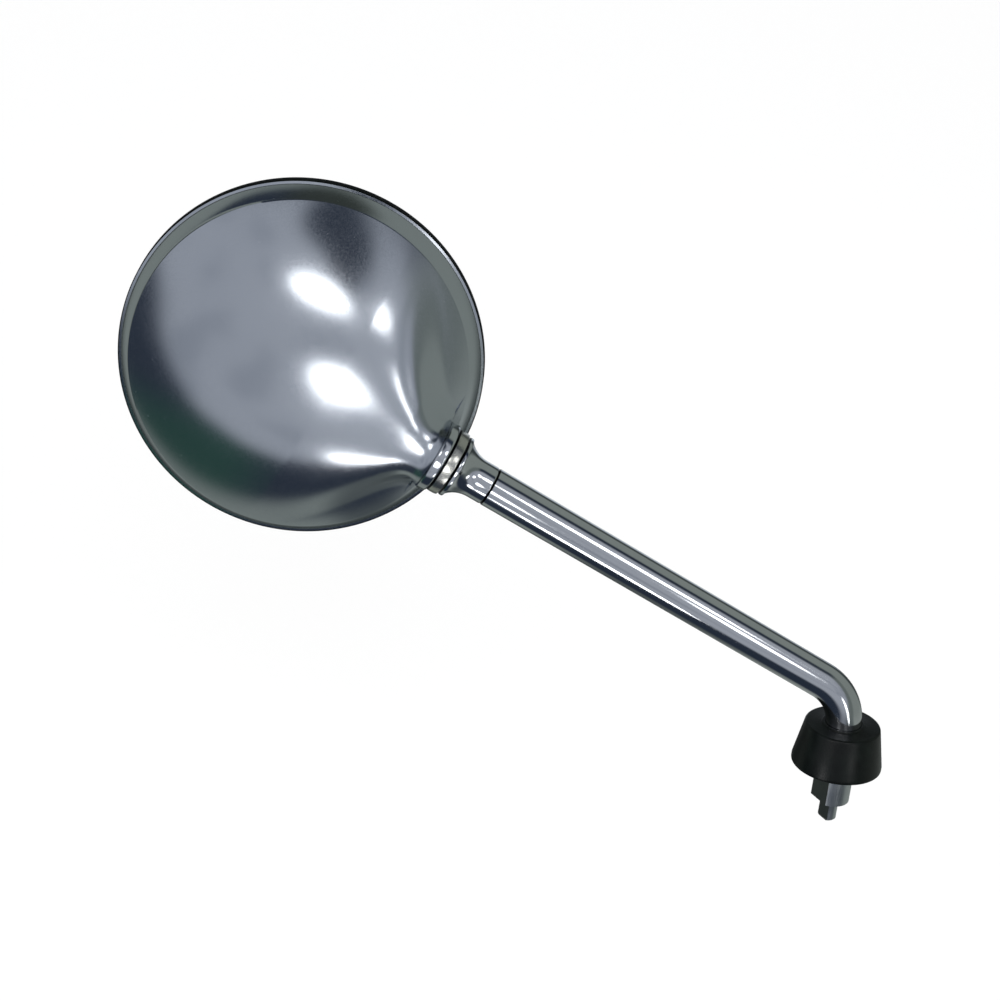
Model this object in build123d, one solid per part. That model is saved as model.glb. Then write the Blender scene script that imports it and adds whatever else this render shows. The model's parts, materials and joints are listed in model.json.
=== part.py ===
from build123d import *
import os
from math import asin, cos, degrees, radians, sin, sqrt, tan

# Round motorcycle mirror on a bent tube arm, in millimetres.
# The origin is on the mounting stud's axis, at the seat under the rubber boot. +Z runs up the stud,
# the arm leans to -X, the chromed back faces -Y and the glass faces +Y.

# Mounting stud: a keyed round shank, then a thinner keyed end
stud_d = 11.3
stud_length = 11.7
stud_flat_offset = 4.25
stud_end_d = 5.5
stud_end_length = 6.7
stud_end_flat_offset = 1.5
flat_direction = -145.0
stud_chamfer = 0.4
shank_length = 10.0

# Rubber boot
boot_base_d = 26.6
boot_top_d = 22.4
boot_height = 13.0
boot_foot_height = 1.1
boot_edge_radius = 0.8
boot_lip_height = 0.4
boot_lip_width = 0.9

# Tube arm: upright leg, one bend, then a straight leg that widens to its end
tube_low_d = 10.7
tube_end_d = 11.6
tube_bore_d = 8.4
arm_rise = 24.3
corner_height = 22.4
bend_radius = 14.5
arm_length = 121.4
seam_chamfer = 0.35

# Arm cup: spigot in the tube, short collar, concave flare and a beaded rim
cup_length = 11.7
spigot_length = 9.0
collar_length = 4.2
flare_radius = 8.5
cup_throat_r = 8.7
cup_rim_d = 18.5
cup_bead_width = 1.1
cup_bead_round = 0.3
recess_depth = 3.0

# Ball joint in the neck
ball_offset = 14.0
ball_d = 19.6
ball_end = 7.0
ball_boss_d = 10.0
seat_clearance = 0.15
running_clearance = 0.05
socket_wall = 0.6
socket_bead_d = 21.2
socket_bead_round = 0.8
lip_groove = 0.45
neck_gap = 3.4
tilt_limit = 12.0
pan_limit = 12.0
swing_margin = 2.0
liner_thickness = 0.8
liner_angle = 40.0
thrust_washer_d = 10.6
thrust_washer_thickness = 1.0
thrust_flat_d = 7.4

# Tension bolt, spring, washer and nut
bolt_d = 4.0
bolt_head_d = 7.0
bolt_head_height = 2.6
bolt_head_round = 1.0
bolt_tail = 1.5
spring_length = 10.0
spring_wire_d = 1.0
spring_mean_d = 6.4
spring_pitch = 2.2
nut_washer_d = 7.8
nut_washer_thickness = 0.8
nut_width = 7.0
nut_height = 3.2

# Mirror head: domed back with a spout, around an open front
head_roll = 5.3
neck_inset = 2.8
neck_height = 14.4
rim_d = 105.0
rim_land = 1.2
rim_step = 0.5
band_width = 4.0
crease_height = 7.3
crown_height = 25.0
shell_wall = 0.8
neck_depth = 4.9
pocket_clearance = 2.2
spout_root_inset = 37.0
spout_root_d = 40.0
spout_root_top = 19.0
spout_blend = 18.0
sharp_margin = 0.5

# Glass and its gasket
glass_inset = 2.9
glass_thickness = 2.0
glass_curve_radius = 1200.0
glass_edge_set = 1.6
glass_clearance = 0.05
gasket_depth = 2.7
gasket_lip = 1.2
gasket_rear_lip = 0.95
gasket_round = 0.6

# Radii and places that follow from the driving sizes
stud_r = stud_d / 2
stud_end_r = stud_end_d / 2
tube_low_r = tube_low_d / 2
tube_end_r = tube_end_d / 2
tube_bore_r = tube_bore_d / 2
ball_r = ball_d / 2
bolt_r = bolt_d / 2
bolt_hole_r = bolt_r + running_clearance
rim_r = rim_d / 2
crease_r = rim_r - band_width
head_offset = rim_r - neck_inset

bend_angle = 90.0 - arm_rise
bend_start = corner_height - bend_radius * tan(radians(bend_angle / 2))
arm_direction = Vector(-cos(radians(arm_rise)), 0, sin(radians(arm_rise)))
tube_end = Vector(0, 0, corner_height) + arm_direction * arm_length
ball_centre = tube_end + arm_direction * ball_offset

# The joint's own frame: Z along the arm towards the head, origin at the ball's centre
joint_frame = Plane(origin=ball_centre, x_dir=(0, 1, 0), z_dir=arm_direction)
seam_z = -ball_offset
cup_face = seam_z + cup_length
ball_face = -neck_gap / 2
socket_lip = neck_gap / 2

# The head's own frame: Z out of the back, X towards the arm, origin in the rim's plane on the dome's axis
back_normal = Vector(0, -1, 0).rotate(Axis((0, 0, 0), arm_direction), head_roll)
head_centre = ball_centre + arm_direction * head_offset - back_normal * neck_height
head_frame = Plane(origin=head_centre, x_dir=-arm_direction, z_dir=back_normal)
neck_plane_x = head_offset - neck_depth


def turned(*points):
    """A body turned about Z from a closed outline of (radius, height) points."""
    return revolve(Plane.XZ * make_face(Polyline(*points, close=True)), Axis.Z)


def slab(low, high, size):
    """A square block between two heights, for trimming."""
    return Pos(0, 0, (low + high) / 2) * Box(size, size, high - low)


def rod(radius, low, high):
    """A round bar on Z between two heights."""
    return Pos(0, 0, (low + high) / 2) * Cylinder(radius, high - low)


def flat_cutter(offset, radius, low, high):
    """A block that leaves a flat at this offset from Z, facing the stud's key direction."""
    depth = radius + stud_chamfer
    block = Pos(offset + depth / 2, 0, (low + high) / 2) * Box(depth, 4 * radius, high - low)
    return Rot(0, 0, flat_direction) * block


def make_base_stud():
    """Turned steel stud with a flat milled on each diameter, pressed into the tube."""
    low = -stud_length - stud_end_length
    body = turned(
        (0, low),
        (stud_end_r - stud_chamfer, low),
        (stud_end_r, low + stud_chamfer),
        (stud_end_r, -stud_length),
        (stud_r, -stud_length),
        (stud_r, 0),
        (tube_bore_r, 0),
        (tube_bore_r, shank_length),
        (0, shank_length),
    )
    body -= flat_cutter(stud_flat_offset, stud_r, -stud_length, 0)
    return body - flat_cutter(stud_end_flat_offset, stud_end_r, low, -stud_length)


def make_mount_boot():
    """Moulded rubber cone that seals the tube's foot."""
    lip_r = tube_low_r + boot_lip_width
    top_r = boot_top_d / 2
    body = turned(
        (tube_low_r, 0),
        (boot_base_d / 2, 0),
        (boot_base_d / 2, boot_foot_height),
        (top_r, boot_height),
        (tube_low_r, boot_height),
    )
    rim = body.edges().filter_by(GeomType.CIRCLE).sort_by(Axis.Z)[-2:].sort_by(SortBy.RADIUS)[-1]
    body = fillet(rim, boot_edge_radius)
    lip = rod(lip_r, boot_height, boot_height + boot_lip_height)
    lip -= rod(tube_low_r, boot_height, boot_height + boot_lip_height)
    return body + lip


def make_arm_tube():
    """Bent steel tube with an even bore."""
    leg = rod(tube_low_r, 0, bend_start)
    bend_axis = Axis((-bend_radius, 0, bend_start), (0, -1, 0))
    elbow = revolve(Pos(0, 0, bend_start) * Circle(tube_low_r), bend_axis, bend_angle)
    straight = arm_length - (corner_height - bend_start)
    taper_frame = Plane(origin=tube_end - arm_direction * straight, x_dir=(0, 1, 0), z_dir=arm_direction)
    taper = Pos(0, 0, straight / 2) * Cone(tube_low_r, tube_end_r, straight)
    end_edge = taper.edges().filter_by(GeomType.CIRCLE).sort_by(Axis.Z)[-1]
    taper = chamfer(end_edge, seam_chamfer)
    outside = leg + elbow + taper_frame.location * taper
    path = FilletPolyline((0, 0, 0), (0, 0, corner_height), tube_end, radius=bend_radius)
    bore = sweep(Circle(tube_bore_r), path=path)
    return outside - bore


def make_arm_cup():
    """Turned cup on the tube's end: spigot, collar, concave flare and beaded rim, bored for the bolt."""
    spigot_end = seam_z - spigot_length
    flare_start = seam_z + collar_length
    rise = cup_throat_r - tube_end_r
    flare_end = flare_start + sqrt(flare_radius**2 - (flare_radius - rise) ** 2)
    half_turn = asin((flare_end - flare_start) / flare_radius) / 2
    middle_r = tube_end_r + flare_radius * (1 - cos(half_turn))
    middle_z = flare_start + flare_radius * sin(half_turn)
    bead_low = cup_face - cup_bead_width
    rim = cup_rim_d / 2
    outline = [
        Polyline(
            (0, spigot_end),
            (tube_bore_r, spigot_end),
            (tube_bore_r, seam_z),
            (tube_end_r - seam_chamfer, seam_z),
            (tube_end_r, seam_z + seam_chamfer),
            (tube_end_r, flare_start),
        ),
        ThreePointArc((tube_end_r, flare_start), (middle_r, middle_z), (cup_throat_r, flare_end)),
        Polyline(
            (cup_throat_r, flare_end),
            (rim - cup_bead_round, bead_low),
            (rim, bead_low + cup_bead_round),
            (rim, cup_face - cup_bead_round),
            (rim - cup_bead_round, cup_face),
            (0, cup_face),
            (0, spigot_end),
        ),
    ]
    body = revolve(Plane.XZ * make_face(outline), Axis.Z)
    recess_floor = ball_face - recess_depth - running_clearance
    body -= rod(ball_boss_d / 2 + running_clearance, recess_floor, cup_face)
    return body - rod(bolt_r, spigot_end, cup_face)


def make_swivel_ball():
    """Ball with a visible barrel zone, turning on the bolt and in the cup's recess."""
    body = Sphere(ball_r) & slab(ball_face, ball_end, ball_d)
    body += rod(ball_boss_d / 2, ball_face - recess_depth, ball_face)
    return body - rod(bolt_hole_r, ball_face - recess_depth, ball_end)


def spherical_cap(inner_r, outer_r, low, edge_r, hole_r):
    """A pressed spherical washer about the ball's centre, above a height, between two edges."""
    body = Sphere(outer_r) - Sphere(inner_r)
    body &= rod(edge_r, low, outer_r)
    return body - rod(hole_r, low, outer_r)


# Spherical seats, from the ball outwards, all about the ball's centre
socket_inner_r = ball_r + seat_clearance
socket_outer_r = socket_inner_r + socket_wall
liner_inner_r = socket_outer_r + seat_clearance
liner_outer_r = liner_inner_r + liner_thickness
thrust_seat_r = liner_outer_r + seat_clearance
thrust_outer_r = thrust_seat_r + thrust_washer_thickness
thrust_top = sqrt(thrust_outer_r**2 - (thrust_flat_d / 2) ** 2)

# Each hole leaves room for the bolt at the end of the swing
diagonal_swing = sqrt(tilt_limit**2 + pan_limit**2)
socket_hole_angle = diagonal_swing + degrees(asin(bolt_r / socket_inner_r)) + swing_margin
socket_hole_r = socket_outer_r * sin(radians(socket_hole_angle))
liner_hole_angle = tilt_limit + degrees(asin(bolt_r / liner_inner_r)) + swing_margin
liner_hole_r = liner_outer_r * sin(radians(liner_hole_angle))
liner_edge_r = liner_outer_r * sin(radians(liner_angle))


def make_socket_cup():
    """Pressed spherical socket set in the head's neck; its rolled lip shows beside the ball."""
    body = spherical_cap(socket_inner_r, socket_outer_r, socket_lip, socket_outer_r, socket_hole_r)
    bead = rod(socket_bead_d / 2, socket_lip, neck_depth - running_clearance)
    bead = fillet(bead.edges().filter_by(GeomType.CIRCLE), socket_bead_round)
    mouth_r = sqrt(socket_inner_r**2 - socket_lip**2)
    groove = Cone(mouth_r + lip_groove, mouth_r, lip_groove)
    body += bead - Sphere(socket_inner_r)
    return body - Pos(0, 0, socket_lip + lip_groove / 2) * groove


def make_friction_liner():
    """Floating spherical washer between the socket and the thrust washer."""
    return spherical_cap(liner_inner_r, liner_outer_r, 0, liner_edge_r, liner_hole_r)


def make_thrust_washer():
    """Dished steel washer with a flat for the bolt's head."""
    body = spherical_cap(thrust_seat_r, thrust_outer_r, 0, thrust_washer_d / 2, bolt_r)
    return body & slab(0, thrust_top, thrust_washer_d)


# Places along the bolt, from the spigot's end towards the base
spring_top = seam_z - spigot_length
spring_foot = spring_top - spring_length
nut_top = spring_foot - nut_washer_thickness
nut_foot = nut_top - nut_height
bolt_foot = nut_foot - bolt_tail


def make_tension_bolt():
    """Bolt that pulls the head onto the ball; its head sits inside the neck."""
    head = rod(bolt_head_d / 2, thrust_top, thrust_top + bolt_head_height)
    head = fillet(head.edges().sort_by(Axis.Z)[-1], bolt_head_round)
    return head + rod(bolt_r, bolt_foot, thrust_top)


def make_tension_spring():
    """Coil spring inside the tube, under the cup's spigot."""
    wire_r = spring_wire_d / 2
    coil = Helix(spring_pitch, spring_length - spring_wire_d, spring_mean_d / 2)
    section = Plane(origin=coil @ 0, z_dir=coil % 0) * Circle(wire_r)
    return Pos(0, 0, spring_foot + wire_r) * sweep(section, path=coil, is_frenet=True)


def make_nut_washer():
    """Flat washer between the spring and the nut."""
    return rod(nut_washer_d / 2, nut_top, spring_foot) - rod(bolt_r, nut_top, spring_foot)


def make_lock_nut():
    """Hexagon nut on the bolt's end."""
    hexagon = RegularPolygon(nut_width / 2, 6, major_radius=False)
    return Pos(0, 0, nut_foot) * extrude(hexagon, nut_height) - rod(bolt_r, nut_foot, nut_top)


def spout_ring(x, height, radius):
    """A round section of the spout, square to the neck's axis."""
    return Plane(origin=(x, 0, height), x_dir=(0, 1, 0), z_dir=(1, 0, 0)) * Circle(radius)


# The socket's outer sphere where it passes the neck's end wall
socket_hole_in_neck = sqrt(socket_outer_r**2 - neck_depth**2) + running_clearance
spout_r = socket_hole_in_neck + shell_wall
pocket_r = socket_outer_r + pocket_clearance

# The dome's sphere, through the crown and the crease
dome_rise = crown_height - crease_height
dome_r = (crease_r**2 + dome_rise**2) / (2 * dome_rise)


def back_form(inset):
    """The head's back as a full body, drawn in by an inset: dome, spout, rim band and joint pocket."""
    end_x = neck_plane_x - inset
    dome = Pos(0, 0, crown_height - dome_r) * Sphere(dome_r - inset)
    behind_neck = Pos(end_x - rim_d, 0, rim_r) * Box(2 * rim_d, 2 * rim_d, rim_d)
    root_x = neck_plane_x - spout_root_inset
    root = spout_ring(root_x, spout_root_top - spout_root_d / 2, spout_root_d / 2 - inset)
    mouth = spout_ring(neck_plane_x, neck_height, spout_r - inset)
    joined = (dome & behind_neck) + (loft([root, mouth], ruled=True) & behind_neck)
    meeting = [
        edge
        for edge in joined.edges()
        if edge.center().X < end_x - sharp_margin and edge.bounding_box().max.Z > sharp_margin
    ]
    spouted = fillet(meeting, spout_blend + inset)
    raised = (spouted & rod(crease_r - inset, 0, rim_d)) + (dome & rod(crease_r - inset, 0, rim_d))
    band = turned(
        (0, -inset),
        (rim_r - inset, -inset),
        (rim_r - inset, rim_land),
        (rim_r - rim_step - inset, rim_land + rim_step),
        (crease_r - inset, crease_height - inset / 2),
        (0, crease_height - inset / 2),
    )
    pocket = Pos(head_offset, 0, neck_height) * Sphere(pocket_r - shell_wall + inset)
    pocket &= Pos(end_x + rim_r, 0, neck_height) * Box(rim_d, rim_d, rim_d)
    return raised + band - pocket


def make_head_shell():
    """Pressed steel back: thin dome with a spout, a crease, a rim and a hole for the socket."""
    body = back_form(0) - back_form(shell_wall)
    hole = Pos(neck_plane_x, 0, neck_height) * Rot(0, 90, 0) * Cylinder(socket_hole_in_neck, neck_depth)
    return body - hole


# The glass in the head's frame: its edge sits just in front of the rim's plane
glass_r = rim_r - glass_inset
glass_front = -glass_edge_set
glass_rear = glass_front + glass_thickness
glass_bulge = glass_curve_radius - sqrt(glass_curve_radius**2 - glass_r**2)


def make_mirror_glass():
    """Convex glass disc of even thickness, bulging forwards."""
    curve_centre = Pos(0, 0, glass_front - glass_bulge + glass_curve_radius)
    disc = rod(glass_r, glass_front - glass_thickness, glass_rear + glass_thickness)
    disc &= curve_centre * Sphere(glass_curve_radius)
    return disc - curve_centre * Sphere(glass_curve_radius - glass_thickness)


def make_rim_gasket():
    """Black rubber ring that grips the glass and closes the shell's edge."""
    groove_r = glass_r + glass_clearance
    lip_r = glass_r - gasket_lip
    inner_r = rim_r - shell_wall - glass_clearance
    rear = glass_rear + glass_clearance
    body = turned(
        (lip_r, -gasket_depth),
        (rim_r - gasket_round, -gasket_depth),
        (rim_r, -gasket_depth + gasket_round),
        (rim_r, 0),
        (inner_r, 0),
        (inner_r, rear),
        (inner_r - gasket_round, rear + gasket_rear_lip),
        (lip_r, rear + gasket_rear_lip),
        (lip_r, rear),
        (groove_r, rear),
        (groove_r, glass_front - glass_clearance),
        (lip_r, glass_front - glass_clearance),
    )
    return body


arm_parts = {"base_stud": make_base_stud, "mount_boot": make_mount_boot, "arm_tube": make_arm_tube}
joint_parts = {
    "arm_cup": make_arm_cup,
    "swivel_ball": make_swivel_ball,
    "socket_cup": make_socket_cup,
    "friction_liner": make_friction_liner,
    "thrust_washer": make_thrust_washer,
    "tension_bolt": make_tension_bolt,
    "tension_spring": make_tension_spring,
    "nut_washer": make_nut_washer,
    "lock_nut": make_lock_nut,
}
head_parts = {
    "head_shell": make_head_shell,
    "rim_gasket": make_rim_gasket,
    "mirror_glass": make_mirror_glass,
}

os.makedirs("parts", exist_ok=True)
for frame, pieces in ((Plane.XY, arm_parts), (joint_frame, joint_parts), (head_frame, head_parts)):
    for node, make in pieces.items():
        export_step(frame.location * make(), f"parts/{node}.step")
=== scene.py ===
import json
import math

import bmesh
import bpy
import numpy as np
from mathutils import Matrix, Vector


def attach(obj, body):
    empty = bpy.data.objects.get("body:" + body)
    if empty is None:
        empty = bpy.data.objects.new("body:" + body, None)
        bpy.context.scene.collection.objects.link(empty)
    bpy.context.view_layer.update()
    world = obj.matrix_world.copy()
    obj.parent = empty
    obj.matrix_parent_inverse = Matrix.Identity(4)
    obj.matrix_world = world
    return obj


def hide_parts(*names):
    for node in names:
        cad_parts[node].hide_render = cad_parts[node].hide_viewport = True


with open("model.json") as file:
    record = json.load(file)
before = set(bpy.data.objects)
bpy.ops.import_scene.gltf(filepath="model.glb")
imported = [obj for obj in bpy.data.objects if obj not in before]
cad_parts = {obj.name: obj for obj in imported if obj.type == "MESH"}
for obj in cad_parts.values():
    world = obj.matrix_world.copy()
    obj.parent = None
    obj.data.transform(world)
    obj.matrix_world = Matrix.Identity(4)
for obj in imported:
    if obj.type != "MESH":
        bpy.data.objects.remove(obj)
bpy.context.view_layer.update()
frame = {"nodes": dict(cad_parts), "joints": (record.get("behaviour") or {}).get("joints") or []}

scene = bpy.context.scene

# Mounting stud: a turned steel stud in two diameters, with a flat milled on each so that it can't
# turn in its socket. The thinner shank on top is pressed into the foot of the tube.
mm = 0.001
stud_r = 5.65
stud_foot = -11.7
stud_flat = 4.25
pin_r = 2.75
pin_foot = -18.4
pin_flat = 1.5
pin_chamfer = 0.4
shank_r = 4.2
shank_top = 10.0
stud_steps = 96
flat_heading = math.radians(-145)
flat_facing = 0.99
flat_margin = 0.16
sharp_angle = math.radians(32)
weld_gap = mm / 10000
steel_dark = (0.36, 0.385, 0.39, 1)
steel_pale = (0.62, 0.65, 0.67, 1)
flat_shade_tone = (0.1, 0.11, 0.108, 1)


def spun_body(outline, steps):
    """An outline of (radius, height) points in millimetres, closed and spun about Z."""
    bm = bmesh.new()
    ring = [bm.verts.new((radius * mm, 0, height * mm)) for radius, height in outline]
    sides = zip(ring, ring[1:] + ring[:1])
    edges = [bm.edges.new(pair) for pair in sides if max(v.co.x for v in pair) > 0]
    bmesh.ops.spin(bm, geom=ring + edges, axis=(0, 0, 1), cent=(0, 0, 0), angle=math.tau,
                   steps=steps, use_merge=True)
    bmesh.ops.remove_doubles(bm, verts=bm.verts, dist=weld_gap)
    bmesh.ops.recalc_face_normals(bm, faces=bm.faces)
    return bm


def soften_edges(bm, width, segments=3):
    """A small round on every sharp edge, as deburring leaves, with its meeting corners merged."""
    sharp = [edge for edge in bm.edges if edge.calc_face_angle(0) > sharp_angle]
    bmesh.ops.bevel(bm, geom=sharp, offset=width * mm, segments=segments, profile=0.5,
                    affect="EDGES", material=-1, clamp_overlap=True)
    bmesh.ops.remove_doubles(bm, verts=bm.verts, dist=weld_gap)


def make_piece(name, bm, material, place=Matrix()):
    """The mesh becomes a smooth-shaded object with its place in its mesh."""
    bm.transform(place)
    for face in bm.faces:
        face.smooth = True
    for edge in bm.edges:
        edge.smooth = edge.calc_face_angle(0) < sharp_angle
    mesh = bpy.data.meshes.new(name)
    bm.to_mesh(mesh)
    bm.free()
    mesh.materials.append(material)
    piece = bpy.data.objects.new(name, mesh)
    scene.collection.objects.link(piece)
    return piece


def new_finish(name, **values):
    """A material whose constant values sit on its own shader's sockets."""
    material = bpy.data.materials.new(name)
    material.use_nodes = True
    shader = material.node_tree.nodes["Principled BSDF"]
    for socket, value in values.items():
        shader.inputs[socket.replace("_", " ")].default_value = value
    return material, material.node_tree, shader


def add_node(tree, kind, settings=None, **inputs):
    """A node with its settings and its unlinked or linked inputs."""
    node = tree.nodes.new(kind)
    for key, value in (settings or {}).items():
        setattr(node, key, value)
    for key, value in inputs.items():
        socket = node.inputs[key.replace("_", " ")]
        if isinstance(value, bpy.types.NodeSocket):
            tree.links.new(value, socket)
        else:
            socket.default_value = value
    return node


def new_group(name, inputs, outputs):
    """An empty shader node group with named value sockets."""
    group = bpy.data.node_groups.new(name, "ShaderNodeTree")
    group.interface.new_socket("Vector", in_out="INPUT", socket_type="NodeSocketVector")
    for key, value in inputs.items():
        socket = group.interface.new_socket(key, in_out="INPUT", socket_type="NodeSocketFloat")
        socket.default_value = value
    for key in outputs:
        group.interface.new_socket(key, in_out="OUTPUT", socket_type="NodeSocketFloat")
    given = group.nodes.new("NodeGroupInput").outputs
    result = group.nodes.new("NodeGroupOutput").inputs
    return group, given, result


# The surface break-up that every metal and rubber face here shares: broad handling marks under a
# fine grain. It gives a roughness that wanders and a height for a bump.
surface_break, given, result = new_group(
    "surface_break",
    {"Broad Scale": 90.0, "Grain Scale": 2500.0, "Roughness": 0.3, "Spread": 0.1, "Grain": 0.2},
    ["Roughness", "Height"],
)
broad = add_node(surface_break, "ShaderNodeTexNoise", Vector=given["Vector"],
                 Scale=given["Broad Scale"], Detail=4.0, Roughness=0.55)
grain = add_node(surface_break, "ShaderNodeTexNoise", Vector=given["Vector"],
                 Scale=given["Grain Scale"], Detail=2.0, Roughness=0.5)
offset = add_node(surface_break, "ShaderNodeMath", {"operation": "SUBTRACT"})
surface_break.links.new(broad.outputs["Fac"], offset.inputs[0])
offset.inputs[1].default_value = 0.5
wander = add_node(surface_break, "ShaderNodeMath",
                  {"operation": "MULTIPLY_ADD", "use_clamp": True})
surface_break.links.new(offset.outputs[0], wander.inputs[0])
surface_break.links.new(given["Spread"], wander.inputs[1])
surface_break.links.new(given["Roughness"], wander.inputs[2])
surface_break.links.new(wander.outputs[0], result["Roughness"])
height = add_node(surface_break, "ShaderNodeMath", {"operation": "MULTIPLY_ADD"})
surface_break.links.new(grain.outputs["Fac"], height.inputs[0])
surface_break.links.new(given["Grain"], height.inputs[1])
surface_break.links.new(broad.outputs["Fac"], height.inputs[2])
surface_break.links.new(height.outputs[0], result["Height"])


def break_up(tree, shader, depth, **values):
    """Gives a finish the break-up's roughness, and a bump of this depth in millimetres."""
    place = add_node(tree, "ShaderNodeTexCoord").outputs["Object"]
    wear = add_node(tree, "ShaderNodeGroup", {"node_tree": surface_break}, Vector=place, **values)
    tree.links.new(wear.outputs["Roughness"], shader.inputs["Roughness"])
    bump = add_node(tree, "ShaderNodeBump", Strength=1.0, Distance=depth * mm,
                    Height=wear.outputs["Height"])
    tree.links.new(bump.outputs["Normal"], shader.inputs["Normal"])
    return place


def tinted(tree, share, one, two, low=0.0, high=1.0):
    """A colour that runs from one to two as a share goes from low to high."""
    node = add_node(tree, "ShaderNodeValToRGB", Fac=share)
    for stop, position, colour in zip(node.color_ramp.elements, (low, high), (one, two)):
        stop.position = position
        stop.color = colour
    return node.outputs["Color"]


def faded(tree, share, one, two):
    """Colour one turning into colour two."""
    node = add_node(tree, "ShaderNodeMix", {"data_type": "RGBA"})
    tree.links.new(share, node.inputs["Factor"])
    for socket, value in ((node.inputs[6], one), (node.inputs[7], two)):
        if isinstance(value, bpy.types.NodeSocket):
            tree.links.new(value, socket)
        else:
            socket.default_value = value
    return node.outputs[2]


steel, tree, shader = new_finish("turned_steel", Metallic=1.0)
place = break_up(tree, shader, 0.012, Roughness=0.34, Spread=0.25, Broad_Scale=260.0)
rings = add_node(tree, "ShaderNodeTexWave", {"bands_direction": "Z"}, Vector=place, Scale=900.0,
                 Distortion=0.6, Detail=1.0)
tint = tinted(tree, rings.outputs["Fac"], steel_dark, steel_pale)
# The milled flats are painted darker than the turned steel: painted shade, as if they lay in
# shadow.
flat_shade = add_node(tree, "ShaderNodeAttribute", {"attribute_name": "painted_flat_shade"})
toned = faded(tree, flat_shade.outputs["Fac"], tint, flat_shade_tone)
tree.links.new(toned, shader.inputs["Base Color"])

bm = spun_body(
    [(0, pin_foot), (pin_r - pin_chamfer, pin_foot), (pin_r, pin_foot + pin_chamfer),
     (pin_r, stud_foot), (stud_r, stud_foot), (stud_r, 0), (shank_r, 0), (shank_r, shank_top),
     (0, shank_top)],
    stud_steps,
)
heading = Vector((math.cos(flat_heading), math.sin(flat_heading), 0))
for flat, reach, top in ((stud_flat, stud_r, 0), (pin_flat, pin_r, stud_foot)):
    bm.normal_update()
    walls = [face for face in bm.faces if abs(face.normal.z) < flat_facing]
    edges = [edge for edge in bm.edges if any(face in walls for face in edge.link_faces)]
    bmesh.ops.bisect_plane(bm, geom=edges + walls, dist=weld_gap, plane_co=heading * flat * mm,
                           plane_no=heading)
    for vert in bm.verts:
        proud = vert.co.dot(heading) - flat * mm
        in_reach = vert.co.xy.length < (reach + flat_margin) * mm
        if proud > 0 and in_reach and vert.co.z < (top + flat_margin) * mm:
            vert.co -= heading * proud
bmesh.ops.recalc_face_normals(bm, faces=bm.faces)
# The faces of the flats take the painted shade.
layer = bm.faces.layers.float.new("painted_flat_shade")
for face in bm.faces:
    face[layer] = float(face.normal.dot(heading) > flat_facing)
stud = make_piece("turned_stud", bm, steel)
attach(stud, "arm")
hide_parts("base_stud")

# Rubber boot: a moulded black cone that seals the tube's foot against the handlebar. It is matt,
# with a rounded shoulder and a thin lip stretched round the tube.
boot_foot_r = 13.29
boot_top_r = 11.2
boot_height = 13.0
boot_foot = 1.1
boot_shoulder = 0.8
boot_lip = 0.4
boot_lip_width = 0.9
boot_edge = 0.3
boot_steps = 160
shoulder_steps = 8
tube_r = 5.35
rubber_black = (0.001, 0.0018, 0.0015, 1)
rubber_dusty = (0.0035, 0.0062, 0.0052, 1)
dust_from = 0.35
dust_to = 0.75

rubber, tree, shader = new_finish("moulded_rubber", Specular_IOR_Level=0.24)
place = break_up(tree, shader, 0.06, Roughness=0.34, Spread=0.3, Broad_Scale=150.0,
                 Grain_Scale=1800.0, Grain=0.5)
dust = add_node(tree, "ShaderNodeTexNoise", Vector=place, Scale=210.0, Detail=6.0, Roughness=0.6)
tint = tinted(tree, dust.outputs["Fac"], rubber_black, rubber_dusty, dust_from, dust_to)
tree.links.new(tint, shader.inputs["Base Color"])


def arc(centre, radius, start, end, count):
    """Points of a round stretch of an outline, with angles in degrees from the radius axis."""
    turns = (math.radians(start + (end - start) * i / count) for i in range(count + 1))
    return [(centre[0] + radius * math.cos(t), centre[1] + radius * math.sin(t)) for t in turns]


slope = math.degrees(math.atan2(boot_foot_r - boot_top_r, boot_height - boot_foot))
shoulder_middle = (boot_top_r - boot_shoulder, boot_height - boot_shoulder)
bm = spun_body(
    [(tube_r, 0), (boot_foot_r, 0), (boot_foot_r, boot_foot),
     *arc(shoulder_middle, boot_shoulder, slope, 90, shoulder_steps),
     (tube_r + boot_lip_width, boot_height), (tube_r + boot_lip_width, boot_height + boot_lip),
     (tube_r, boot_height + boot_lip)],
    boot_steps,
)
soften_edges(bm, boot_edge)
boot = make_piece("moulded_boot", bm, rubber)
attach(boot, "arm")
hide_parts("mount_boot")

# Arm: one drawn steel tube, bent once on a mandrel, polished along its length and chromed. It
# widens a little towards the head, and its end is chamfered where it meets the cup.
joints = {joint["name"]: joint for joint in frame["joints"]}
arm_axis = Vector(joints["neck_roll"]["axis"]).normalized()
ball_centre = Vector(joints["neck_roll"]["pos_m"])
ball_offset = 14.0
bend_radius = 14.5
corner_height = 22.4
tube_end_r = 5.8
tube_wall = 1.1
seam_chamfer = 0.35
around = 144
bend_steps = 36
chrome_dim = (0.58, 0.6, 0.63, 1)
chrome_bright = (0.66, 0.67, 0.69, 1)
groove_shade_black = (0.004, 0.004, 0.005, 1)

chrome, tree, shader = new_finish("bright_chrome", Metallic=1.0)
place = break_up(tree, shader, 0.0015, Roughness=0.1, Spread=0.06, Broad_Scale=120.0,
                 Grain_Scale=700.0, Grain=0.12)
haze = add_node(tree, "ShaderNodeTexNoise", Vector=place, Scale=160.0, Detail=3.0)
tint = tinted(tree, haze.outputs["Fac"], chrome_dim, chrome_bright)
# Faces in the grooves and seams between the parts are painted near black: painted shade.
groove_shade = add_node(tree, "ShaderNodeAttribute", {"attribute_name": "painted_groove_shade"})
shaded = faded(tree, groove_shade.outputs["Fac"], tint, groove_shade_black)
tree.links.new(shaded, shader.inputs["Base Color"])


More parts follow.
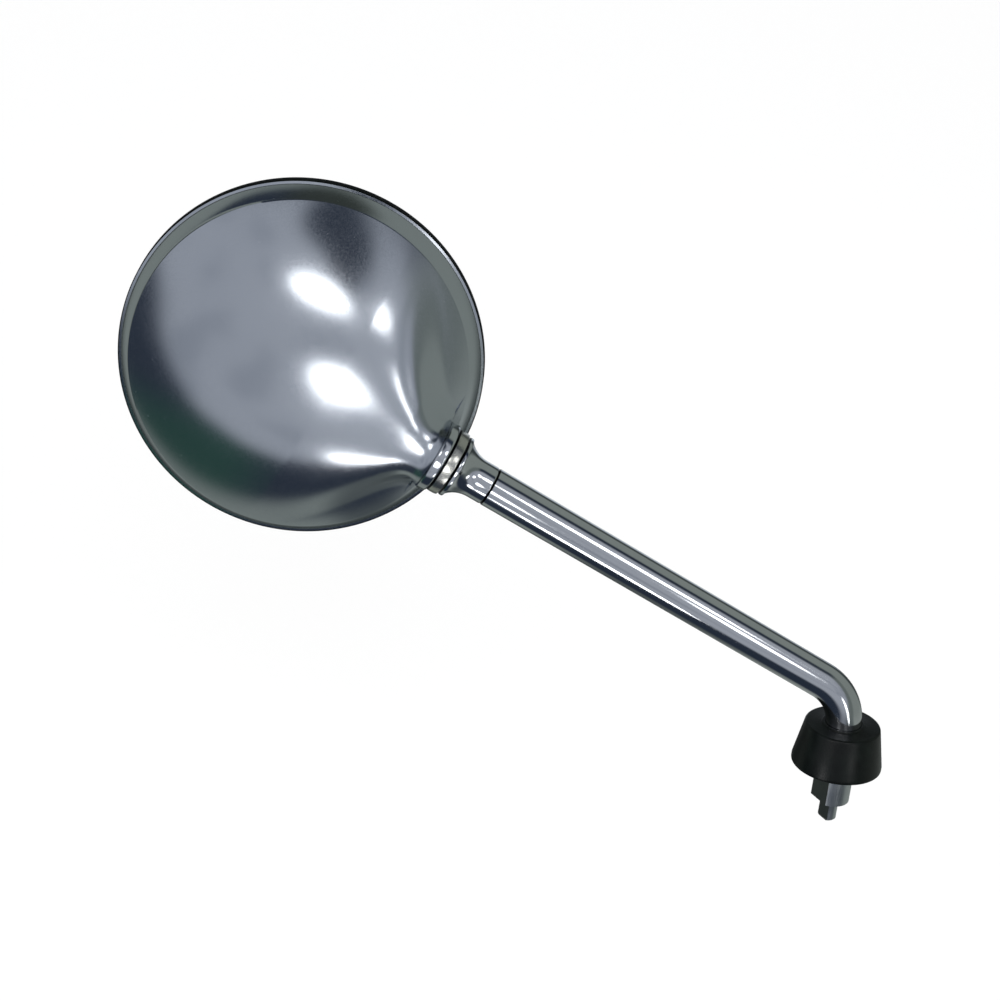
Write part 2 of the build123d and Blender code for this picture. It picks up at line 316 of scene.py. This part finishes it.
def paint_groove_shade(bm, shaded_here):
    """Marks the faces that a test on their middle picks for painted shade, which the chrome draws
    near black.
    """
    layer = bm.faces.layers.float.new("painted_groove_shade")
    for face in bm.faces:
        middle = face.calc_center_median() / mm
        face[layer] = float(shaded_here(middle.xy.length, middle.z))


def verts_and_edges(made):
    """The verts and the edges among what an operator made."""
    verts = [item for item in made if isinstance(item, bmesh.types.BMVert)]
    edges = [item for item in made if isinstance(item, bmesh.types.BMEdge)]
    return verts, edges


def grown(bm, edges, step):
    """Extrudes an open ring by a step and returns its new verts and edges."""
    verts, edges = verts_and_edges(bmesh.ops.extrude_edge_only(bm, edges=edges)["geom"])
    bmesh.ops.translate(bm, verts=verts, vec=step)
    return verts, edges


def widened(bm, verts, share):
    """Scales a ring about its own centre."""
    centre = sum((vert.co for vert in verts), Vector()) / len(verts)
    bmesh.ops.scale(bm, verts=verts, vec=(share,) * 3, space=Matrix.Translation(-centre))


bend_angle = math.acos(arm_axis.z)
bend_start = (corner_height - bend_radius * math.tan(bend_angle / 2)) * mm
tube_end = ball_centre - arm_axis * ball_offset * mm
bm = bmesh.new()
bmesh.ops.create_circle(bm, segments=around, radius=tube_r * mm)
verts, edges = grown(bm, bm.edges[:], (0, 0, bend_start))
bend_centre = (-bend_radius * mm, 0, bend_start)
bent = bmesh.ops.spin(bm, geom=verts + edges, axis=(0, -1, 0), cent=bend_centre, angle=bend_angle,
                      steps=bend_steps)
verts, edges = verts_and_edges(bent["geom_last"])
bend_end = sum((vert.co for vert in verts), Vector()) / len(verts)
straight = (tube_end - bend_end).length - seam_chamfer * mm
verts, edges = grown(bm, edges, arm_axis * straight)
widened(bm, verts, tube_end_r / tube_r)
verts, edges = grown(bm, edges, arm_axis * seam_chamfer * mm)
widened(bm, verts, 1 - seam_chamfer / tube_end_r)
bmesh.ops.recalc_face_normals(bm, faces=bm.faces)
along_arm = Vector((0, 0, 1)).rotation_difference(arm_axis).to_matrix().to_4x4()
joint_place = Matrix.Translation(ball_centre) @ along_arm
bm.transform(joint_place.inverted())
# The tube's chamfered end takes the painted shade of the seam.
paint_groove_shade(bm, lambda radius, height: height > -ball_offset - seam_chamfer)
bm.transform(joint_place)
arm = make_piece("chromed_arm", bm, chrome)
wall = arm.modifiers.new("tube_wall", "SOLIDIFY")
wall.thickness = tube_wall * mm
wall.offset = -1
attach(arm, "arm")
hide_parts("arm_tube")

# Arm cup: turned steel, chromed. Its spigot is pressed into the tube; a short collar, a concave
# flare and a beaded rim lead up to the ball. The bolt runs through it.
spigot_foot = -23.0
spigot_r = 4.2
seam = -ball_offset
flare_foot = -9.8
flare_radius = 8.5
throat_r = 8.7
rim_r = 9.25
bead_foot = -3.4
cup_face = -2.3
recess_r = 5.05
recess_floor = -4.75
bolt_hole_r = 2.0
cup_edge = 0.25
flare_steps = 16
seam_shade = 0.8 * seam_chamfer


def cup_groove_shade(radius, height):
    """True where shade is painted: in the seam above the tube and on the face below the ball."""
    in_seam = seam - cup_edge < height < seam + seam_shade
    on_face = height > cup_face - cup_edge / 2 and radius < rim_r - cup_edge / 2
    return in_seam or on_face


flare_turn = math.degrees(math.acos(1 - (throat_r - tube_end_r) / flare_radius))
bm = spun_body(
    [(bolt_hole_r, spigot_foot), (spigot_r, spigot_foot), (spigot_r, seam),
     (tube_end_r - seam_chamfer, seam), (tube_end_r, seam + seam_chamfer),
     *arc((tube_end_r + flare_radius, flare_foot), flare_radius, 180, 180 - flare_turn,
          flare_steps),
     (rim_r, bead_foot), (rim_r, cup_face), (recess_r, cup_face), (recess_r, recess_floor),
     (bolt_hole_r, recess_floor)],
    around,
)
soften_edges(bm, cup_edge)
paint_groove_shade(bm, cup_groove_shade)
cup = make_piece("chromed_cup", bm, chrome, joint_place)
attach(cup, "arm")
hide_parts("arm_cup")

# Swivel ball: a turned and chromed ball. Only a ring of it shows, between the cup's rim and the
# socket's lip; its boss turns in the cup's recess.
ball_r = 9.8
ball_face = -1.7
ball_back = 7.0
boss_r = 5.0
boss_foot = -4.7
ball_bore_r = 2.05
ball_edge = 0.2
ball_steps = 24
shade_from = 1.0
shade_to = 3.0
wear_depth = 0.14
wear_scale = 320.0
wear_roughness = 0.24
worn_dim = (0.5, 0.49, 0.44, 1)
worn_pale = (0.68, 0.67, 0.62, 1)


def ball_groove_shade(radius, height):
    """True where shade is painted: on the ball's flat face and in the groove beside the socket's
    lip.
    """
    return height < ball_face + ball_edge / 2 or shade_from < height < shade_to


first = math.degrees(math.asin(ball_face / ball_r))
last = math.degrees(math.asin(ball_back / ball_r))
bm = spun_body(
    [(ball_bore_r, boss_foot), (boss_r, boss_foot), (boss_r, ball_face),
     *arc((0, 0), ball_r, first, last, ball_steps), (ball_bore_r, ball_back)],
    around,
)
soften_edges(bm, ball_edge)
worn_chrome = chrome.copy()
worn_chrome.name = "worn_chrome"
for node in worn_chrome.node_tree.nodes:
    if node.type == "BUMP":
        node.inputs["Distance"].default_value = wear_depth * mm
    if node.type == "GROUP":
        node.inputs["Broad Scale"].default_value = wear_scale
        node.inputs["Roughness"].default_value = wear_roughness
    if node.type == "VALTORGB":
        node.color_ramp.elements[0].color = worn_dim
        node.color_ramp.elements[1].color = worn_pale
paint_groove_shade(bm, ball_groove_shade)
ball = make_piece("chromed_ball", bm, worn_chrome, joint_place)
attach(ball, "swivel")
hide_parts("swivel_ball")

# Socket: a spherical cup pressed from sheet and set in the head's neck. Its lip is rolled to a bead
# that shows beside the ball, with a narrow groove between the two.
socket_inner_r = 9.95
socket_outer_r = 10.55
socket_lip = 1.7
socket_hole_r = 5.37
lip_bead_r = 10.6
lip_bead_round = 0.8
lip_bead_top = 4.85
lip_groove = 0.45
socket_edge = 0.1
bead_steps = 6
outer_steps = 16
inner_steps = 20

bead_middle = lip_bead_r - lip_bead_round
groove_top = socket_lip + lip_groove
lip_inner_r = math.sqrt(socket_inner_r**2 - socket_lip**2) + lip_groove


def socket_groove_shade(radius, height):
    """True where shade is painted: in the groove inside the rolled lip."""
    return radius < lip_inner_r and height < groove_top


bm = spun_body(
    [*arc((bead_middle, socket_lip + lip_bead_round), lip_bead_round, -90, 0, bead_steps),
     *arc((bead_middle, lip_bead_top - lip_bead_round), lip_bead_round, 0, 90, bead_steps),
     *arc((0, 0), socket_outer_r, math.degrees(math.asin(lip_bead_top / socket_outer_r)),
          math.degrees(math.acos(socket_hole_r / socket_outer_r)), outer_steps),
     *arc((0, 0), socket_inner_r, math.degrees(math.acos(socket_hole_r / socket_inner_r)),
          math.degrees(math.asin(groove_top / socket_inner_r)), inner_steps),
     (lip_inner_r, socket_lip)],
    around,
)
soften_edges(bm, socket_edge)
paint_groove_shade(bm, socket_groove_shade)
socket = make_piece("chromed_socket", bm, chrome, joint_place)
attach(socket, "head")
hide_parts("socket_cup")

# The clamp inside the neck and the tube: bolt, spring, washers and nut of plain steel, and a
# floating washer of nylon. They are as made in the model and only take their finish here.
nylon_dim = (0.7, 0.67, 0.58, 1)
nylon_pale = (0.82, 0.8, 0.73, 1)

nylon, tree, shader = new_finish("natural_nylon", Subsurface_Weight=0.1)
place = break_up(tree, shader, 0.02, Roughness=0.45, Spread=0.15, Grain=0.4)
cloud = add_node(tree, "ShaderNodeTexNoise", Vector=place, Scale=300.0, Detail=3.0)
tint = tinted(tree, cloud.outputs["Fac"], nylon_dim, nylon_pale)
tree.links.new(tint, shader.inputs["Base Color"])

clamp_finish = {"tension_bolt": steel, "tension_spring": steel, "thrust_washer": steel,
                "nut_washer": steel, "lock_nut": steel, "friction_liner": nylon}
for node, finish in clamp_finish.items():
    frame["nodes"][node].data.materials.clear()
    frame["nodes"][node].data.materials.append(finish)

# Head: the back is pressed from one steel sheet and satin chromed. A shallow dome runs out into a
# spout at the neck, with a crease and a steep rim band round the edge. The socket sits in the
# spout's mouth.
back_axis = Vector(joints["head_pan"]["axis"]).normalized()
head_offset = 49.7
neck_height = 14.4
rim_radius = 52.2
rim_land = 1.2
rim_step = 0.65
rim_rise = 0.36
crease_r = 48.5
crease_height = 7.3
crown_height = 25.0
shell_wall = 0.8
neck_x = 44.8
mouth_r = 10.19
waist_r = 7.8
lip_length = 2.2
flare = 0.082
root_growth = 26.0
flank_room = 0.05
flank_start = 0.6
squareness = 0.55
square_run = 8.8
crest_height = 22.3
crest_climb = 0.1
crest_dive = 0.0036
spout_lean = 0.9
blend_inside = 13.0
blend_at_neck = 5.0
blend_start_x = 10.0
height_tries = 160
step_share = 0.9
folds_pressed = ((15.4, 42.0, 36.6, 14.8, 0.17, 1.1), (27.0, 43.0, 25.6, 14.6, 0.13, 1.0))
pocket_r = 10.8
pocket_blend = 0.6
mouth_hole_r = 9.4
split_reach = 18.0
rings_across = 84
sectors = 320
band_rows = 10
band_bulge = 0.42
crease_round = 0.2
fine_from_x = 34.0
fine_reach = 20.0
snap = 0.12
thin_share = 0.3
thin_from_x = 29.0
thin_to_x = 35.0
thin_reach = 13.0
thin_fade = 3.0
seam_gap = mm / 1000
plane_gap = mm / 500
satin_dim = (0.54, 0.57, 0.615, 1)
satin_pale = (0.6, 0.63, 0.67, 1)

satin, tree, shader = new_finish("satin_chrome", Metallic=1.0)
place = break_up(tree, shader, 0.0012, Roughness=0.2, Spread=0.3, Broad_Scale=2400.0,
                 Grain_Scale=5000.0, Grain=0.3)
cloud = add_node(tree, "ShaderNodeTexNoise", Vector=place, Scale=45.0, Detail=3.0)
tint = tinted(tree, cloud.outputs["Fac"], satin_dim, satin_pale)
tree.links.new(tint, shader.inputs["Base Color"])

dome_rise = crown_height - crease_height
dome_r = (crease_r**2 + dome_rise**2) / (2 * dome_rise)


def joined(one, two, width):
    """The union of two distance fields with a soft fillet of this width between them."""
    overlap = np.maximum(width - np.abs(one - two), 0) / width
    return np.minimum(one, two) - overlap**2 * width / 4


def dome_field(x, y, z):
    """Distance from the dome's sphere."""
    return np.sqrt(x**2 + y**2 + (z - crown_height + dome_r) ** 2) - dome_r


def spout_field(x, y, z):
    """A horn that flares from a waist behind its lip into the dome and grows squarer on the way."""
    run = np.maximum(neck_x - x, 0)
    lip = np.exp(-run / lip_length)
    crest = crest_height + crest_climb * run - crest_dive * run**2
    crest = crest + (neck_height + mouth_r - crest_height) * lip
    root = root_growth * (1 - np.exp(-flare * run**2 / root_growth))
    radius = waist_r + root + (mouth_r - waist_r) * lip
    power = 2 + squareness * np.clip((run - lip_length) / square_run, 0, 1)
    wide = 1 + flank_room * (1 - np.exp(-run / flank_start))
    reach = (np.abs(y / wide) ** power + np.abs(z - crest + radius) ** power) ** (1 / power)
    return (reach - radius) * spout_lean


def back_height(x, y):
    """Height of the dome with its spout above each point, found by stepping down to the surface."""
    nearness = np.clip((x - blend_start_x) / (neck_x - blend_start_x), 0, 1)
    blend = blend_inside + (blend_at_neck - blend_inside) * nearness
    z = np.full_like(x, 2 * crown_height)
    for _ in range(height_tries):
        z = z - step_share * joined(dome_field(x, y, z), spout_field(x, y, z), blend)
    return z


def press_folds(x, y):
    """Depth of the fine folds that the press left along the spout's upper flank."""
    depth = np.zeros_like(x)
    for start_x, end_x, start_y, fall, deep, width in folds_pressed:
        path = start_y * np.exp((start_x - x) / fall)
        across = (y - path) / np.hypot(1, path / fall)
        along = np.clip((x - start_x) / (end_x - start_x), 0, 1)
        depth = depth + deep * np.sin(math.pi * along) * np.exp(-((across / width) ** 2) / 2)
    return depth


def outer_height(x, y):
    """Height of the dome and the rim band outside the neck, dented round the ball."""
    radius = np.hypot(x, y)
    dome = crown_height - dome_r + np.sqrt(np.maximum(dome_r**2 - radius**2, 0))
    band_share = (radius - crease_r) / (rim_radius - rim_step - crease_r)
    band = crease_height + (rim_land + rim_rise - crease_height) * band_share
    band = band + 4 * band_bulge * band_share * (1 - band_share)
    surface = np.where(radius < crease_r, dome, band)
    reach = np.maximum(pocket_r**2 - (x - head_offset) ** 2 - y**2, 0)
    pocket = np.where(reach > 0, neck_height - np.sqrt(reach), 2 * crown_height)
    return joined(surface, pocket, pocket_blend)


bm = bmesh.new()
stations = [bm.verts.new((radius * mm, 0, 0))
            for radius in (0, crease_r - crease_round, crease_r, crease_r + crease_round,
                           rim_radius - rim_step, rim_radius, rim_radius)]
runs = [bm.edges.new(pair) for pair in zip(stations, stations[1:])]
stations[4].co.z = (rim_land + rim_rise) * mm
stations[5].co.z = rim_land * mm
bmesh.ops.subdivide_edges(bm, edges=runs[:1], cuts=rings_across)
bmesh.ops.subdivide_edges(bm, edges=runs[3:4], cuts=band_rows)
bmesh.ops.spin(bm, geom=bm.verts[:] + bm.edges[:], axis=(0, 0, 1), cent=(0, 0, 0), angle=math.tau,
               steps=sectors, use_merge=True)
bmesh.ops.remove_doubles(bm, verts=bm.verts, dist=seam_gap)
near_neck = [edge for edge in bm.edges
             if all(v.co.x > fine_from_x * mm and abs(v.co.y) < fine_reach * mm
                    for v in edge.verts)]
bmesh.ops.subdivide_edges(bm, edges=near_neck, cuts=1, use_grid_fill=True)
for vert in bm.verts:
    if abs(vert.co.x - neck_x * mm) < snap * mm:
        vert.co.x = neck_x * mm
bmesh.ops.bisect_plane(bm, geom=bm.verts[:] + bm.edges[:] + bm.faces[:], dist=seam_gap,
                       plane_co=(neck_x * mm, 0, 0), plane_no=(1, 0, 0))
on_plane = [edge for edge in bm.edges
            if all(abs(v.co.x - neck_x * mm) < plane_gap and abs(v.co.y) < split_reach * mm
                   for v in edge.verts)]
bmesh.ops.split_edges(bm, edges=on_plane)
bm.verts.ensure_lookup_table()
across, up, level = (np.array([vert.co for vert in bm.verts]) / mm).T
beyond = np.array([all(face.calc_center_median().x > neck_x * mm for face in vert.link_faces)
                   for vert in bm.verts])
radius = np.hypot(across, up)
edge_zone = radius > rim_radius - rim_step - snap
heights = np.where(beyond | (radius > crease_r + snap / 10), outer_height(across, up),
                   back_height(across, up) - press_folds(across, up))
heights = np.where(edge_zone, level, heights)
for vert, value in zip(bm.verts, heights):
    vert.co.z = value * mm
mouth = [edge for edge in bm.edges
         if edge.is_boundary and all(abs(v.co.x - neck_x * mm) < plane_gap for v in edge.verts)]
lip = verts_and_edges(bmesh.ops.extrude_edge_only(bm, edges=mouth)["geom"])[0]
for vert in lip:
    out = Vector((0, vert.co.y, vert.co.z - neck_height * mm)).normalized()
    vert.co = Vector((neck_x, 0, neck_height)) * mm + out * mouth_hole_r * mm
bmesh.ops.remove_doubles(bm, verts=lip, dist=seam_gap)
bmesh.ops.recalc_face_normals(bm, faces=bm.faces)
head_axes = Matrix((-arm_axis, back_axis.cross(-arm_axis), back_axis)).transposed().to_4x4()
head_centre = ball_centre + (arm_axis * head_offset - back_axis * neck_height) * mm
head_place = Matrix.Translation(head_centre) @ head_axes
shell = make_piece("pressed_back", bm, satin, head_place)
drawn = shell.vertex_groups.new(name="drawn_thin")
to_head = head_place.inverted()
for vert in shell.data.vertices:
    x, y, z = (to_head @ vert.co) / mm
    inward = min(max((x - thin_from_x) / (thin_to_x - thin_from_x), 0), 1)
    beside = min(max((thin_reach - math.hypot(y, z - neck_height)) / thin_fade, 0), 1)
    if inward * beside > 0:
        drawn.add([vert.index], inward * beside, "REPLACE")
wall = shell.modifiers.new("sheet_gauge", "SOLIDIFY")
wall.thickness = shell_wall * mm
wall.offset = -1
wall.vertex_group = drawn.name
wall.invert_vertex_group = True
wall.thickness_vertex_group = thin_share
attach(shell, "head")
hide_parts("head_shell")

# Rim gasket: an extruded ring of black rubber. It wraps over the back's open edge, and the glass
# snaps into its groove.
glass_r = 49.6
glass_front = -1.6
glass_thickness = 2.0
fit_gap = 0.05
gasket_r = 52.48
gasket_front = -2.7
gasket_wrap = 1.2
gasket_lip = 1.2
gasket_rear_lip = 0.95
gasket_round = 0.6
gasket_edge = 0.15
gasket_roughness = 0.6
gasket_gloss = 0.05

lip_r = glass_r - gasket_lip
inner_r = rim_radius - shell_wall - fit_gap
wrap_r = rim_radius + fit_gap
groove_r = glass_r + fit_gap
glass_rear = glass_front + glass_thickness + fit_gap
bm = spun_body(
    [(lip_r, gasket_front), (gasket_r - gasket_round, gasket_front),
     (gasket_r, gasket_front + gasket_round), (gasket_r, gasket_wrap),
     (wrap_r, gasket_wrap), (wrap_r, 0), (inner_r, 0), (inner_r, glass_rear),
     (inner_r - gasket_round, glass_rear + gasket_rear_lip), (lip_r, glass_rear + gasket_rear_lip),
     (lip_r, glass_rear), (groove_r, glass_rear), (groove_r, glass_front - fit_gap),
     (lip_r, glass_front - fit_gap)],
    sectors,
)
soften_edges(bm, gasket_edge, 2)
matt_rubber = rubber.copy()
matt_rubber.name = "matt_rubber"
for node in matt_rubber.node_tree.nodes:
    if node.type == "GROUP":
        node.inputs["Roughness"].default_value = gasket_roughness
    if node.type == "BSDF_PRINCIPLED":
        node.inputs["Specular IOR Level"].default_value = gasket_gloss
gasket = make_piece("rubber_gasket", bm, matt_rubber, head_place)
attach(gasket, "head")
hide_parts("rim_gasket")

# Mirror: a disc of float glass bent to a gentle convex curve and silvered, with a ground edge. The
# gasket's groove holds it all round.
glass_curve_r = 1200.0
glass_edge = 0.2
glass_rings = 40
glass_steps = 192
silver_dim = (0.8, 0.83, 0.84, 1)
silver_pale = (0.86, 0.88, 0.89, 1)

silver, tree, shader = new_finish("silvered_glass", Metallic=1.0, Coat_Weight=0.3)
place = break_up(tree, shader, 0.0004, Roughness=0.025, Spread=0.03, Broad_Scale=60.0,
                 Grain=0.02)
haze = add_node(tree, "ShaderNodeTexNoise", Vector=place, Scale=30.0, Detail=4.0)
tint = tinted(tree, haze.outputs["Fac"], silver_dim, silver_pale)
tree.links.new(tint, shader.inputs["Base Color"])

half_arc = math.degrees(math.asin(glass_r / glass_curve_r))
front_middle = glass_front - glass_curve_r * (1 - math.cos(math.radians(half_arc)))
front_centre = (0, front_middle + glass_curve_r)
rear_centre = (0, front_centre[1] + glass_thickness)
front = arc(front_centre, glass_curve_r, -90, -90 + half_arc, glass_rings)
rear = arc(rear_centre, glass_curve_r, -90 + half_arc, -90, glass_rings)
bm = spun_body([(0, front[0][1]), *front[1:], *rear[:-1], (0, rear[-1][1])], glass_steps)
soften_edges(bm, glass_edge, 2)
glass = make_piece("silvered_mirror", bm, silver, head_place)
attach(glass, "head")
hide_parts("mirror_glass")

# Floor: a wide sheet of matt white paper, laid well below the stud. It takes the soft shadow and
# runs far past the picture.
floor_height = -0.12
floor_size = 6.0
paper_white = (0.985, 0.985, 0.985, 1)

paper = new_finish("studio_paper", Base_Color=paper_white, Roughness=0.9)[0]
bm = bmesh.new()
bmesh.ops.create_grid(bm, x_segments=1, y_segments=1, size=floor_size)
floor = make_piece("studio_floor", bm, paper, Matrix.Translation((0, 0, floor_height)))

# Reflection tent: a glowing sphere round the mirror, seen only in its polished faces, painted with
# the surroundings they reflect: painted reflection. It is blue grey in front with blotches of
# painted shade, dark in a ring round that and grey green behind, with dark spots and a pale far
# view for the glass.
tent_radius = 1.5
tent_low = -0.1
tent_squash = 0.55
front_grey = (0.43, 0.455, 0.505, 1)
front_shade = (0.33, 0.355, 0.405, 1)
blotch_scale = 3.6
ring_navy = (0.026, 0.036, 0.056, 1)
ring_green = (0.026, 0.07, 0.058, 1)
side_green = (0.165, 0.19, 0.18, 1)
back_green = (0.26, 0.29, 0.27, 1)
back_dark = (0.05, 0.06, 0.06, 1)
overhead_dark = (0.042, 0.05, 0.044, 1)
low_pale = (0.34, 0.37, 0.35, 1)
low_dark = (0.1, 0.115, 0.115, 1)
far_sky = (0.6, 0.66, 0.72, 1)
far_ground = (0.2, 0.21, 0.2, 1)
front_heading = (-2, 14)
ring_inside = (0.38, 0.54)
ring_outside = (-0.12, 0.06)
dark_behind = (-0.5, -0.72)
far_behind = (-0.8, -0.93)
horizon = (-0.42, -0.12)
blotch_share = (0.48, 0.66)
above_range = (-0.6, -0.3)
below_range = (-0.3, -0.6)
right_range = (0.1, 0.5)
right_shift = -0.22
below_shift = 0.11
over_shift = 0.22
high_shift = 0.16
corners = {
    "low_left": ((-0.1, -0.45), (-0.35, -0.7)),
    "on_right": ((0.3, 0.62), (0.72, 0.5)),
    "low_right": ((0.15, 0.5), (-0.2, -0.5)),
    "underneath": ((0.12, 0.3), (-0.78, -0.9)),
    "over_left": ((0.25, 0.0), (0.55, 0.75)),
    "high_left": ((-0.3, -0.7), (0.05, 0.4)),
}
dark_spots = (
    (20, 44, 0.988, 0.998, ring_navy),
    (26, 54, 0.968, 0.993, ring_navy),
    (14, 64, 0.968, 0.993, ring_navy),
    (169, 75, 0.9, 0.985, overhead_dark),
)


def heading_of(turn, rise):
    """A direction from the head: a turn from front to right, and a rise, in degrees."""
    turn, rise = math.radians(turn), math.radians(rise)
    level = math.cos(rise)
    return Vector((math.sin(turn) * level, -math.cos(turn) * level, math.sin(rise)))


def ease(tree, value, low, high):
    """A soft step from 0 to 1 between two values."""
    return add_node(tree, "ShaderNodeMapRange", {"interpolation_type": "SMOOTHSTEP"}, Value=value,
                    From_Min=low, From_Max=high).outputs["Result"]


def both(tree, one, two):
    """The product of two shares."""
    node = add_node(tree, "ShaderNodeMath", {"operation": "MULTIPLY"})
    tree.links.new(one, node.inputs[0])
    tree.links.new(two, node.inputs[1])
    return node.outputs[0]


def shifted(tree, value, share, amount):
    """A value raised by a share of an amount."""
    node = add_node(tree, "ShaderNodeMath", {"operation": "MULTIPLY_ADD"})
    tree.links.new(share, node.inputs[0])
    node.inputs[1].default_value = amount
    tree.links.new(value, node.inputs[2])
    return node.outputs[0]


def toward(tree, place, turn, rise):
    """How far a place lies towards a heading, as the cosine of the angle between the two."""
    node = add_node(tree, "ShaderNodeVectorMath", {"operation": "DOT_PRODUCT"})
    tree.links.new(place, node.inputs[0])
    node.inputs[1].default_value = heading_of(turn, rise)
    return node.outputs["Value"]


tent_painted_reflection = bpy.data.materials.new("tent_painted_reflection")
tent_painted_reflection.use_nodes = True
tree = tent_painted_reflection.node_tree
tree.nodes.clear()
away = add_node(tree, "ShaderNodeVectorMath", {"operation": "SUBTRACT"})
tree.links.new(add_node(tree, "ShaderNodeTexCoord").outputs["Object"], away.inputs[0])
away.inputs[1].default_value = head_centre
unit = add_node(tree, "ShaderNodeVectorMath", {"operation": "NORMALIZE"})
tree.links.new(away.outputs[0], unit.inputs[0])
front = toward(tree, unit.outputs[0], *front_heading)
part = add_node(tree, "ShaderNodeSeparateXYZ", Vector=unit.outputs[0]).outputs
above = ease(tree, part["Z"], *above_range)
below = ease(tree, part["Z"], *below_range)
to_right = both(tree, ease(tree, part["X"], *right_range), above)
corner = {name: both(tree, ease(tree, part["X"], *aside), ease(tree, part["Z"], *upward))
          for name, (aside, upward) in corners.items()}
ring = faded(tree, corner["low_left"], ring_navy, ring_green)
ring = faded(tree, both(tree, corner["on_right"], above), ring, side_green)
behind = faded(tree, corner["low_right"], back_green, low_pale)
behind = faded(tree, corner["underneath"], behind, low_dark)
behind = faded(tree, ease(tree, front, *dark_behind), behind, back_dark)
far_view = faded(tree, ease(tree, part["Z"], *horizon), far_ground, far_sky)
behind = faded(tree, ease(tree, front, *far_behind), behind, far_view)
ring_end = shifted(tree, front, to_right, right_shift)
ring_end = shifted(tree, ring_end, below, below_shift)
ring_end = shifted(tree, ring_end, corner["over_left"], over_shift)
reflected = faded(tree, ease(tree, ring_end, *ring_outside), behind, ring)
# Random blotches of painted shade across the front of the painted reflection.
blotches = add_node(tree, "ShaderNodeTexNoise", Vector=unit.outputs[0], Scale=blotch_scale, Detail=1.0)
blotched = ease(tree, blotches.outputs["Fac"], *blotch_share)
front_reflected = faded(tree, blotched, front_grey, front_shade)
ring_start = shifted(tree, front, corner["high_left"], high_shift)
reflected = faded(tree, ease(tree, ring_start, *ring_inside), reflected, front_reflected)
for turn, rise, begins, is_full, dark in dark_spots:
    spot = ease(tree, toward(tree, unit.outputs[0], turn, rise), begins, is_full)
    reflected = faded(tree, spot, reflected, dark)
glow = add_node(tree, "ShaderNodeEmission", Color=reflected, Strength=1.0)
add_node(tree, "ShaderNodeOutputMaterial", Surface=glow.outputs["Emission"])

bm = bmesh.new()
bmesh.ops.create_uvsphere(bm, u_segments=64, v_segments=32, radius=tent_radius)
bmesh.ops.scale(bm, verts=bm.verts, vec=(1, 1, tent_squash))
lift = Vector((head_centre.x, 0, tent_low + tent_squash * tent_radius))
tent = make_piece("reflection_tent", bm, tent_painted_reflection, Matrix.Translation(lift))
for flag in ("visible_camera", "visible_diffuse", "visible_shadow", "visible_transmission"):
    setattr(tent, flag, False)

# Lamps: six oval soft lamps inside the tent. Each is set by its turn and rise as seen from the
# head, its width, height and roll, all in degrees, its distance in metres and its brightness.
lamps = {
    "lamp_over_camera": (4, 34, 25, 14, -10, 0.8, 3.4),
    "lamp_low_front": (11, -6, 26, 17, -25, 0.26, 3.4),
    "lamp_right": (40, 27, 13, 12, 0, 0.7, 3.4),
    "strip_below": (24, -42, 21, 10, 0, 0.24, 4.0),
    "lamp_by_stud": (55, -21, 6, 20, 0, 0.4, 3.0),
    "lamp_by_bend": (44, 1, 9, 11, 0, 0.335, 3.0),
}
for name, (turn, rise, width, tall, roll, distance, bright) in lamps.items():
    lamp = bpy.data.lights.new(name, "AREA")
    lamp.shape = "ELLIPSE"
    lamp.size = 2 * distance * math.tan(math.radians(width / 2))
    lamp.size_y = 2 * distance * math.tan(math.radians(tall / 2))
    lamp.energy = bright * math.pi * (math.pi / 4 * lamp.size * lamp.size_y)
    stand = bpy.data.objects.new(name, lamp)
    aim = heading_of(turn, rise)
    turned = aim.to_track_quat("Z", "Y").to_matrix() @ Matrix.Rotation(math.radians(roll), 3, "Z")
    stand.location = head_centre + aim * distance
    stand.rotation_euler = turned.to_euler()
    stand.visible_camera = False
    scene.collection.objects.link(stand)

# Studio: an even white surround. It makes the background pale and fills the shadows on what isn't
# polished.
world = bpy.data.worlds.new("white_studio")
world.use_nodes = True
world.node_tree.nodes["Background"].inputs["Color"].default_value = (1, 1, 1, 1)
world.node_tree.nodes["Background"].inputs["Strength"].default_value = 1.0
scene.world = world

# Camera: a long lens in front of the chromed back and a little above it, tilted a few degrees so
# that the arm runs down to the right.
camera_place = Vector((-0.0781, -0.8384, 0.4572))
camera_right = Vector((0.9896, 0.0875, 0.1145))
camera_up = Vector((-0.1406, 0.4124, 0.9001))
camera_lens = 116.9

lens = bpy.data.cameras.new("camera")
lens.lens = camera_lens
lens.sensor_width = 36
lens.clip_start = 0.01
lens.clip_end = 50
camera = bpy.data.objects.new("camera", lens)
scene.collection.objects.link(camera)
right = camera_right.normalized()
back = right.cross(camera_up).normalized()
axes = Matrix((right, back.cross(right), back)).transposed().to_4x4()
camera.matrix_world = Matrix.Translation(camera_place) @ axes
scene.camera = camera
scene.view_settings.view_transform = "Standard"
